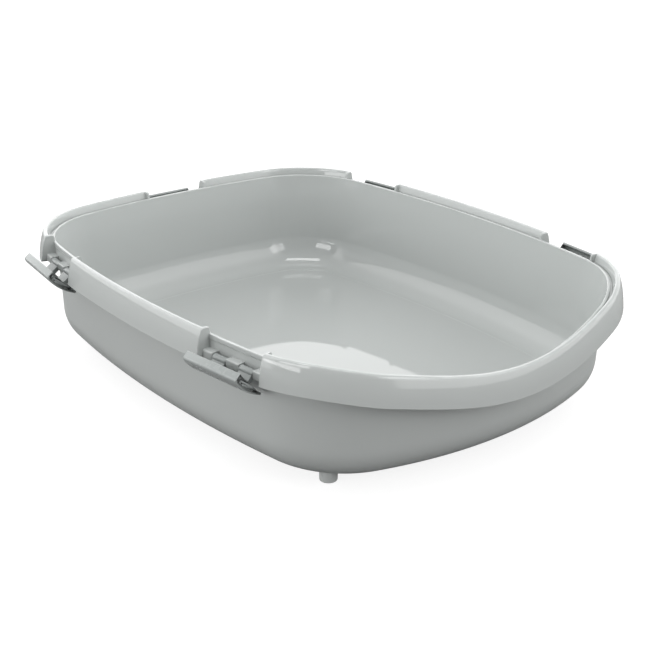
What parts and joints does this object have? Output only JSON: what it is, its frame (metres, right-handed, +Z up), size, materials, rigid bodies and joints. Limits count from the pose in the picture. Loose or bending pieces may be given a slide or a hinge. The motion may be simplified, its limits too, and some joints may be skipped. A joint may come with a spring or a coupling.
{
  "type": "litter tray",
  "caption": "Open rectangular litter tray with rounded corners, a raised double rim that dips at the entry side, short feet and swinging rim clips.",
  "frame": {"origin": "on the floor, under the middle of the overall length and width with the clips as stored", "axes": "+Z up, the long axis is Y, the low entry side faces -Y, +X is the right side seen from the entry side"},
  "size_m": [0.4738, 0.5782, 0.1271],
  "materials": {
    "tray_plastic": "cool light grey, glossy inside and on the rim, satin outside",
    "clip_plastic": "cool light grey, satin",
    "pin_plastic": "grey, matte",
    "foot_plastic": "grey, matte"
  },
  "bodies": {
    "tray": {"tray": "tray_plastic", "pin_front_left": "pin_plastic", "pin_back_left": "pin_plastic", "pin_back": "pin_plastic", "pin_back_right": "pin_plastic", "pin_front_right": "pin_plastic", "foot_front_left": "foot_plastic", "foot_front_right": "foot_plastic", "foot_back_left": "foot_plastic", "foot_back_right": "foot_plastic"},
    "clip_front_left": {"clip_front_left": "clip_plastic"},
    "clip_back_left": {"clip_back_left": "clip_plastic"},
    "clip_back": {"clip_back": "clip_plastic"},
    "clip_back_right": {"clip_back_right": "clip_plastic"},
    "clip_front_right": {"clip_front_right": "clip_plastic"}
  },
  "joints": [
    {"name": "front_left_clip_hinge", "type": "hinge", "parent": "tray", "child": "clip_front_left", "pos_m": [-0.205, -0.14744, 0.1042], "axis": [-0.1138, 0.9935, 0], "range_deg": [-25, 53]},
    {"name": "back_left_clip_hinge", "type": "hinge", "parent": "tray", "child": "clip_back_left", "pos_m": [-0.20255, 0.14935, 0.1042], "axis": [0.1301, 0.9915, 0], "range_deg": [-25, 53]},
    {"name": "back_clip_hinge", "type": "hinge", "parent": "tray", "child": "clip_back", "pos_m": [0, 0.2607, 0.1042], "axis": [1, 0, 0], "range_deg": [-25, 53]},
    {"name": "back_right_clip_hinge", "type": "hinge", "parent": "tray", "child": "clip_back_right", "pos_m": [0.20255, 0.14935, 0.1042], "axis": [0.1301, -0.9915, 0], "range_deg": [-25, 53]},
    {"name": "front_right_clip_hinge", "type": "hinge", "parent": "tray", "child": "clip_front_right", "pos_m": [0.205, -0.14744, 0.1042], "axis": [-0.1138, -0.9935, 0], "range_deg": [-25, 53]}
  ]
}
